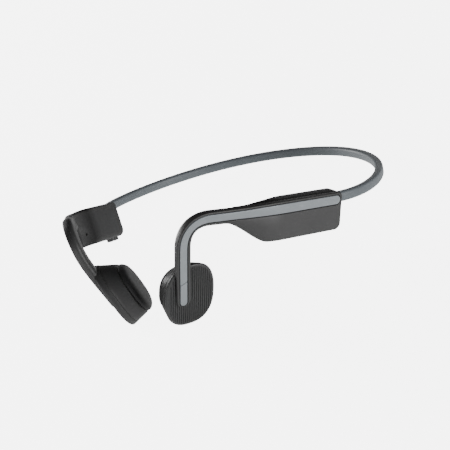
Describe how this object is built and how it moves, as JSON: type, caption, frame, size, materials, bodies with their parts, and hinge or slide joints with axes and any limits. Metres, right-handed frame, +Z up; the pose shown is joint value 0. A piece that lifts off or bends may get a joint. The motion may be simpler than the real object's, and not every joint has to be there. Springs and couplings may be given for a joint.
{
  "type": "bone conduction headphones",
  "caption": "Open-ear headphones: a sprung neckband joins ear hooks, each with a housing behind the ear and a ribbed transducer pod on the cheekbone.",
  "frame": {"origin": "middle of the base of the bounding box, on the surface that the headphones lie on", "axes": "+X to the wearer's left, +Y from the pods towards the back of the band, +Z up from the table"},
  "size_m": [0.1324, 0.1498, 0.0458],
  "materials": {
    "band_silicone": "soft matte silicone, blue-grey",
    "plate_plastic": "smooth matte charcoal",
    "shell_plastic": "smooth satin charcoal",
    "strip_silver": "fine satin silver grey",
    "pod_plastic": "matte near-black, ribbed on the face",
    "pad_silicone": "soft matte silicone",
    "wire_steel": "drawn spring wire",
    "cable_jacket": "thin round jacket",
    "clamp_steel": "pressed and deburred",
    "yoke_steel": "zinc plated",
    "magnet_nickel": "nickel plated",
    "coil_copper": "enamelled copper winding",
    "spring_bronze": "thin rolled bronze",
    "cell_wrap": "shiny pouch film",
    "circuit_board": "green solder mask",
    "module_can": "pressed shield can",
    "port_steel": "drawn stainless shell",
    "key_rubber": "matte black",
    "switch_plastic": "moulded switch body",
    "gasket_foam": "closed-cell foam",
    "light_pipe": "clear moulding"
  },
  "bodies": {
    "neckband": {"neckband_sleeve": "band_silicone", "neckband_spring_wire": "wire_steel", "neckband_cable": "cable_jacket"},
    "left_side": {"left_ear_hook_frame": "plate_plastic", "left_housing_shell": "shell_plastic", "left_accent_strip": "strip_silver", "left_hook_spring_wire": "wire_steel", "left_hook_cable": "cable_jacket", "left_band_clamp": "clamp_steel", "left_pod_cap": "pod_plastic", "left_pod_shell": "pod_plastic", "left_contact_pad": "pad_silicone", "left_transducer_yoke": "yoke_steel", "left_transducer_magnet": "magnet_nickel", "left_transducer_top_plate": "yoke_steel", "left_voice_coil": "coil_copper", "left_spring_plate": "spring_bronze", "multifunction_switch": "switch_plastic", "battery_cell": "cell_wrap", "battery_protection_board": "circuit_board"},
    "right_side": {"right_ear_hook_frame": "plate_plastic", "right_housing_shell": "shell_plastic", "right_accent_strip": "strip_silver", "right_hook_spring_wire": "wire_steel", "right_hook_cable": "cable_jacket", "right_band_clamp": "clamp_steel", "right_pod_cap": "pod_plastic", "right_pod_shell": "pod_plastic", "right_contact_pad": "pad_silicone", "right_transducer_yoke": "yoke_steel", "right_transducer_magnet": "magnet_nickel", "right_transducer_top_plate": "yoke_steel", "right_voice_coil": "coil_copper", "right_spring_plate": "spring_bronze", "main_board": "circuit_board", "bluetooth_module": "module_can", "usb_c_receptacle": "port_steel", "volume_switches": "switch_plastic", "voice_microphone": "module_can", "microphone_gasket": "gasket_foam", "status_light_pipe": "light_pipe"},
    "multifunction_button": {"multifunction_button": "strip_silver"},
    "volume_up_key": {"volume_up_key": "key_rubber"},
    "volume_down_key": {"volume_down_key": "key_rubber"},
    "port_cover": {"port_cover": "key_rubber"}
  },
  "joints": [
    {"name": "left_flex", "type": "hinge", "parent": "neckband", "child": "left_side", "pos_m": [0.04, 0.05926, 0.00464], "axis": [0, 0.6153, 0.7883], "range_deg": [0, 28], "stiffness_Nm_per_rad": 0.3, "deforming": ["neckband_sleeve", "neckband_spring_wire", "neckband_cable"]},
    {"name": "right_flex", "type": "hinge", "parent": "neckband", "child": "right_side", "pos_m": [-0.04, 0.05926, 0.00464], "axis": [0, -0.6153, -0.7883], "range_deg": [0, 28], "stiffness_Nm_per_rad": 0.3, "deforming": ["neckband_sleeve", "neckband_spring_wire", "neckband_cable"]},
    {"name": "multifunction_press", "type": "slide", "parent": "left_side", "child": "multifunction_button", "axis": [-0.7758, 0.5684, 0.274], "range_m": [0, 0.0004], "stiffness_N_per_m": 900},
    {"name": "volume_up_press", "type": "slide", "parent": "right_side", "child": "volume_up_key", "axis": [-0.2118, 0.3443, 0.9147], "range_m": [0, 0.0004], "stiffness_N_per_m": 900},
    {"name": "volume_down_press", "type": "slide", "parent": "right_side", "child": "volume_down_key", "axis": [-0.2118, 0.3443, 0.9147], "range_m": [0, 0.0004], "stiffness_N_per_m": 900},
    {"name": "port_cover_hinge", "type": "hinge", "parent": "right_side", "child": "port_cover", "pos_m": [-0.04558, -0.04092, 0.02198], "axis": [-0.9361, -0.3403, -0.0887], "range_deg": [0, 100]}
  ]
}
